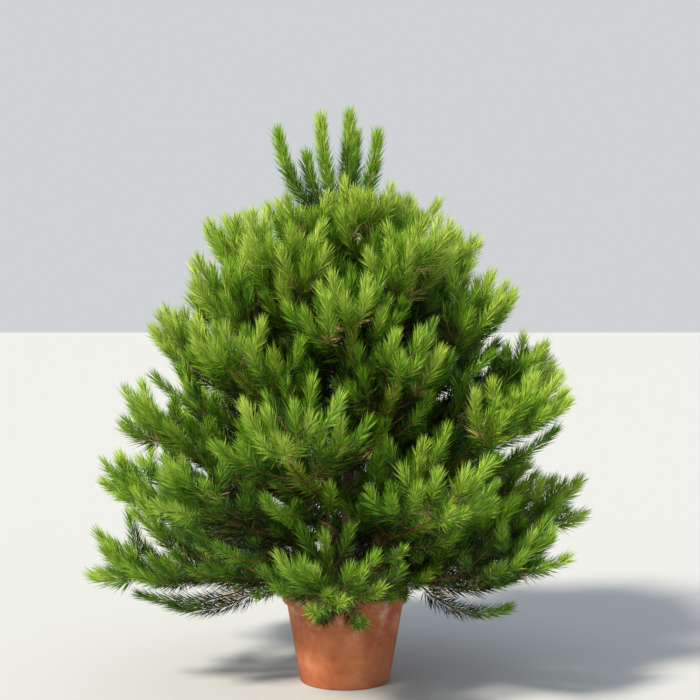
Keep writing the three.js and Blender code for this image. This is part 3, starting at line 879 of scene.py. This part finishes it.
def thrownTerracotta():
    # Terracotta, thrown and fired unglazed: dry and chalky, mottled, with lime bloom and damp foot
    look = clayLook
    material, tree, shader = newMaterial("thrownTerracotta", "#b5673f", 0.9, 1.5)
    place = addNode(tree, "ShaderNodeTexCoord").outputs["Object"]
    cloud = addNode(tree, "ShaderNodeTexNoise", {
        "Vector": place, "Scale": 1 / look["cloud"], "Detail": 6.0, "Roughness": 0.6})
    clay = addNode(tree, "ShaderNodeValToRGB", {"Fac": cloud}, stops=[
        (0.35, "#9c5230"), (0.7, "#c67b50")])
    height = addNode(tree, "ShaderNodeSeparateXYZ", {"Vector": place}).outputs["Z"]
    limeHeight = addNode(tree, "ShaderNodeMapRange", {
        "Value": height, "From Min": look["limeFrom"], "From Max": look["limeFull"],
        "To Min": 0.1, "To Max": 0.75})
    limeNoise = addNode(tree, "ShaderNodeTexNoise", {
        "Vector": place, "Scale": 1 / look["limePatch"], "Detail": 9.0, "Roughness": 0.65})
    limePatch = addNode(tree, "ShaderNodeMapRange", {
        "Value": limeNoise, "From Min": 0.5, "From Max": 0.72})
    lime = addNode(tree, "ShaderNodeMath", {0: limeHeight, 1: limePatch}, operation="MULTIPLY")
    bloom = addNode(tree, "ShaderNodeMix", {
        "Factor": lime, 6: clay, 7: srgb("#dcc9b4")}, data_type="RGBA")
    dampHeight = addNode(tree, "ShaderNodeMapRange", {
        "Value": height, "From Min": 0.0, "From Max": look["dampTop"], "To Min": 0.55, "To Max": 0.0})
    damp = addNode(tree, "ShaderNodeMath", {0: dampHeight, 1: cloud}, operation="MULTIPLY")
    stained = addNode(tree, "ShaderNodeMix", {
        "Factor": damp, 6: bloom.outputs[2], 7: srgb("#5c3424")}, data_type="RGBA")
    grit = addNode(tree, "ShaderNodeTexNoise", {"Vector": place, "Scale": 1 / look["grit"], "Detail": 3.0})
    bump = addNode(tree, "ShaderNodeBump", {
        "Height": grit, "Distance": look["gritHeight"], "Strength": 0.5})
    dress(tree, shader, stained.outputs[2], bump)
    return material


def makePot():
    s = potSizes
    profile = potProfile()
    sides = s["sides"]
    angle = roundAngles(sides)
    pace = s["wobblePace"]
    vertices = [(0, 0, 0)]
    for radius, z in profile[1:-1]:
        onSide = s["plainFoot"] < z < s["height"] - s["plainEdge"]
        outside = onSide and radius > s["footRadius"] - s["plainEdge"]
        ring = s["throwingRing"] * math.sin(2 * math.pi * z / s["ringPitch"]) if outside else 0
        for a in angle:
            where = Vector((math.cos(a) * pace, math.sin(a) * pace, z * s["wobbleRise"]))
            wobble = s["wobble"] * noise.noise(where) * min(1, z / s["trueFoot"])
            r = radius + (ring + wobble) * min(1, radius / s["trueCentre"])
            vertices.append((r * math.cos(a), r * math.sin(a), z))
    vertices.append((0, 0, profile[-1][1]))
    rings, centre = len(profile) - 2, len(vertices) - 1
    faces = discFaces(rings, sides)
    last = 1 + (rings - 1) * sides
    faces.extend((last + k, last + (k + 1) % sides, centre) for k in range(sides))
    pot = meshObject("pot_thrown", vertices, faces)
    drillDrains(pot)
    finish(pot, thrownTerracotta(), "clay", "pot")


makePot()

# The soil, as one crumbly solid, with the sizes of the compost's patterns
compostLook = {"crumb": 0.006, "crumbHeight": 0.002, "cloud": 0.01667}


def soilWall(z):
    return innerWall(z) - soilSizes["gap"]


def soilHeight(x, y):
    s = soilSizes
    radius = math.hypot(x, y)
    wall = soilWall(s["level"] - s["dip"])
    share = max(0.0, (radius - s["flatRadius"]) / (wall - s["flatRadius"]))
    lumps = noise.fractal(Vector((x, y, 0.3)) * s["lumpsPerMetre"], 0.8, 2.0, 4) * s["lump"]
    crumbs = noise.noise(Vector((x, y, 1.7)) * s["crumbsPerMetre"]) * s["crumb"]
    return s["level"] - s["dip"] * min(share, 1.0) + lumps + crumbs


def pottingCompost():
    # Peaty compost: dark, moist and rough, with paler dry crumbs
    material, tree, shader = newMaterial("pottingCompost", "#35261b", 0.95)
    place = addNode(tree, "ShaderNodeTexCoord").outputs["Object"]
    crumb = addNode(tree, "ShaderNodeTexVoronoi", {"Vector": place, "Scale": 1 / compostLook["crumb"]})
    cloud = addNode(tree, "ShaderNodeTexNoise", {
        "Vector": place, "Scale": 1 / compostLook["cloud"], "Detail": 6.0})
    shade = addNode(tree, "ShaderNodeMath", {
        0: crumb.outputs["Distance"], 1: cloud}, operation="MULTIPLY")
    ramp = addNode(tree, "ShaderNodeValToRGB", {"Fac": shade}, stops=[
        (0.0, "#4a3626"), (0.5, "#17100b")])
    bump = addNode(tree, "ShaderNodeBump", {
        "Height": crumb.outputs["Distance"], "Distance": compostLook["crumbHeight"], "Strength": 0.7})
    dress(tree, shader, ramp.outputs[0], bump)
    return material


def makeSoil():
    s = soilSizes
    rings, sides = s["rings"], s["sides"]
    wall = soilWall(s["level"] - s["dip"])
    bottom = potSizes["floor"] + s["gap"]
    vertices = [(0, 0, soilHeight(0, 0))]
    for r in range(1, rings + 1):
        radius = wall * (r / rings)
        for k in range(sides):
            a = 2 * math.pi * (k + 0.5 * (r % 2)) / sides
            x, y = radius * math.cos(a), radius * math.sin(a)
            vertices.append((x, y, soilHeight(x, y)))
    # The pot's underside faces down, this face up
    faces = [(face[0], *face[:0:-1]) for face in discFaces(rings, sides)]
    topFaces = len(faces)
    radius = soilWall(bottom)
    for k in range(sides):
        a = 2 * math.pi * (k + 0.5 * (rings % 2)) / sides
        vertices.append((radius * math.cos(a), radius * math.sin(a), bottom))
    vertices.append((0, 0, bottom))
    last, low, centre = 1 + (rings - 1) * sides, 1 + rings * sides, len(vertices) - 1
    for k in range(sides):
        n = (k + 1) % sides
        faces.append((last + k, low + k, low + n, last + n))
        faces.append((centre, low + n, low + k))
    soil = meshObject("soil_crumbly", vertices, faces)
    finish(soil, pottingCompost(), "soil", "soil")
    # Its upper face, for the litter
    return meshObject("soilTop", vertices[:1 + rings * sides], faces[:topFaces])


# What lies on the soil. A pattern is a unit long or across, a density is to a square metre.
litterKinds = [
    # Pine bark chips, dull and fibrous
    {"name": "litter_chips", "slot": "bark", "material": "barkChip", "colour": "#6b4630", "roughness": 0.9,
     "density": 2600.0, "smallest": 0.010, "largest": 0.026, "tilt": 0.35, "seed": 3,
     "points": [
         (-0.5, -0.2, 0), (0.45, -0.26, 0.02), (0.5, 0.2, 0), (-0.38, 0.27, 0.03),
         (-0.42, -0.16, 0.14), (0.36, -0.2, 0.17), (0.42, 0.15, 0.12), (-0.3, 0.2, 0.15)],
     "faces": [(0, 3, 2, 1), (4, 5, 6, 7), (0, 1, 5, 4), (1, 2, 6, 5), (2, 3, 7, 6), (3, 0, 4, 7)]},
    # Crumbs of moist compost, nearly black
    {"name": "litter_crumbs", "slot": "soil", "material": "compostCrumb", "colour": "#2a1d14",
     "roughness": 0.95,
     "density": 14000.0, "smallest": 0.003, "largest": 0.008, "tilt": 1.5, "seed": 5,
     "points": [
         (0.5, 0, 0.1), (0.1, 0.46, 0), (-0.44, 0.2, 0.08), (-0.36, -0.34, 0), (0.22, -0.42, 0.06),
         (0.05, 0.02, 0.42), (0, 0, -0.3)],
     "faces": [
         (0, 1, 5), (1, 2, 5), (2, 3, 5), (3, 4, 5), (4, 0, 5),
         (1, 0, 6), (2, 1, 6), (3, 2, 6), (4, 3, 6), (0, 4, 6)]},
    # Fallen pairs of needles, dried to a smooth straw brown
    {"name": "litter_needles", "slot": "young_bark", "material": "fallenNeedle", "colour": "#a97f45",
     "roughness": 0.6,
     "density": 2600.0, "smallest": 0.045, "largest": 0.068, "tilt": 0.1, "seed": 9,
     "points": [
         (0, 0, 0), (0.4, 0.02, 0.012), (0.4, -0.02, 0.012), (1, 0.06, 0),
         (0, 0, 0.01), (0.42, -0.08, 0.022), (0.4, -0.12, 0.022), (0.97, -0.24, 0.01)],
     "faces": [
         (0, 2, 1), (0, 3, 2), (0, 1, 3), (1, 2, 3), (4, 6, 5), (4, 7, 6), (4, 5, 7), (5, 6, 7)]},
]


def scatterTree():
    tree, given = newTree("litter", {
        "Pattern": "Object", "Density": "Float", "Smallest": "Float", "Largest": "Float",
        "Tilt": "Float", "Seed": "Int", "Material": "Material"})
    spots = addNode(tree, "GeometryNodeDistributePointsOnFaces", {
        "Mesh": given["Geometry"], "Density": given["Density"], "Seed": given["Seed"]})
    pattern = addNode(tree, "GeometryNodeObjectInfo", {"Object": given["Pattern"]})
    size = addNode(tree, "FunctionNodeRandomValue", {
        "Seed": given["Seed"], 2: given["Smallest"], 3: given["Largest"]}, data_type="FLOAT")
    turn = addNode(tree, "FunctionNodeRandomValue", {
        "Seed": given["Seed"], 0: (-1, -1, -1)}, data_type="FLOAT_VECTOR")
    tilt = addNode(tree, "ShaderNodeCombineXYZ", {"X": given["Tilt"], "Y": given["Tilt"], "Z": math.pi})
    angles = addNode(tree, "ShaderNodeVectorMath", {0: turn, 1: tilt}, operation="MULTIPLY")
    placed = addNode(tree, "GeometryNodeInstanceOnPoints", {
        "Points": spots.outputs["Points"], "Instance": pattern.outputs["Geometry"],
        "Rotation": angles, "Scale": size.outputs[1]})
    closeTree(tree, placed, given["Material"])
    return tree


def makeLitter(top):
    tree = scatterTree()
    for kind in litterKinds:
        pattern = meshObject("litterPattern", kind["points"], kind["faces"])
        material = newMaterial(kind["material"], kind["colour"], kind["roughness"])[0]
        piece = placeObject(kind["name"], top.data.copy())
        runTree(piece, tree, {
            "Pattern": pattern, "Density": kind["density"], "Smallest": kind["smallest"],
            "Largest": kind["largest"], "Tilt": kind["tilt"], "Seed": kind["seed"], "Material": material})
        settle(piece, kind["slot"], "soil")
        bpy.data.objects.remove(pattern)
    bpy.data.objects.remove(top)


makeLitter(makeSoil())

# Floor, light and camera
studio = {
    "cameraPlace": (0.0175, -5.492, 1.45), "aim": (0.0175, 0.0, 1.1645), "fieldOfView": 25.1,
    "floorHalf": 30, "floorColour": "#b9bdc3", "skyColour": "#f3f7fa", "skyStrength": 0.7,
    "keyPlace": (-3.2, -3.4, 5.2), "keyAim": (0.0, 0.0, 1.0), "keyAngle": 10.0, "keyPower": 5.6,
    "keyColour": "#fff4de",
}


def aimed(name, data, place, target):
    thing = placeObject(name, data)
    thing.location = place
    thing.rotation_euler = (Vector(target) - thing.location).to_track_quat("-Z", "Y").to_euler()
    return thing


def makeStudio():
    half = studio["floorHalf"]
    corners = [(-half, -half, 0), (half, -half, 0), (half, half, 0), (-half, half, 0)]
    floor = meshObject("floor", corners, [(0, 1, 2, 3)])
    # Matt backdrop paper, so nothing shines
    floor.data.materials.append(newMaterial("paleFloor", studio["floorColour"], 0.9)[0])
    world = bpy.data.worlds.new("studioSky")
    world.use_nodes = True
    sky = world.node_tree.nodes["Background"]
    sky.inputs["Color"].default_value = srgb(studio["skyColour"])
    sky.inputs["Strength"].default_value = studio["skyStrength"]
    bpy.context.scene.world = world
    lamp = bpy.data.lights.new("key", "SUN")
    lamp.angle = math.radians(studio["keyAngle"])
    lamp.energy = studio["keyPower"]
    lamp.color = srgb(studio["keyColour"])[:3]
    aimed("key", lamp, studio["keyPlace"], studio["keyAim"])
    camera = aimed("camera", bpy.data.cameras.new("camera"), studio["cameraPlace"], studio["aim"])
    camera.data.angle = math.radians(studio["fieldOfView"])
    bpy.context.scene.camera = camera
    bpy.context.scene.view_settings.view_transform = "Standard"
    print("studio ready")


makeStudio()
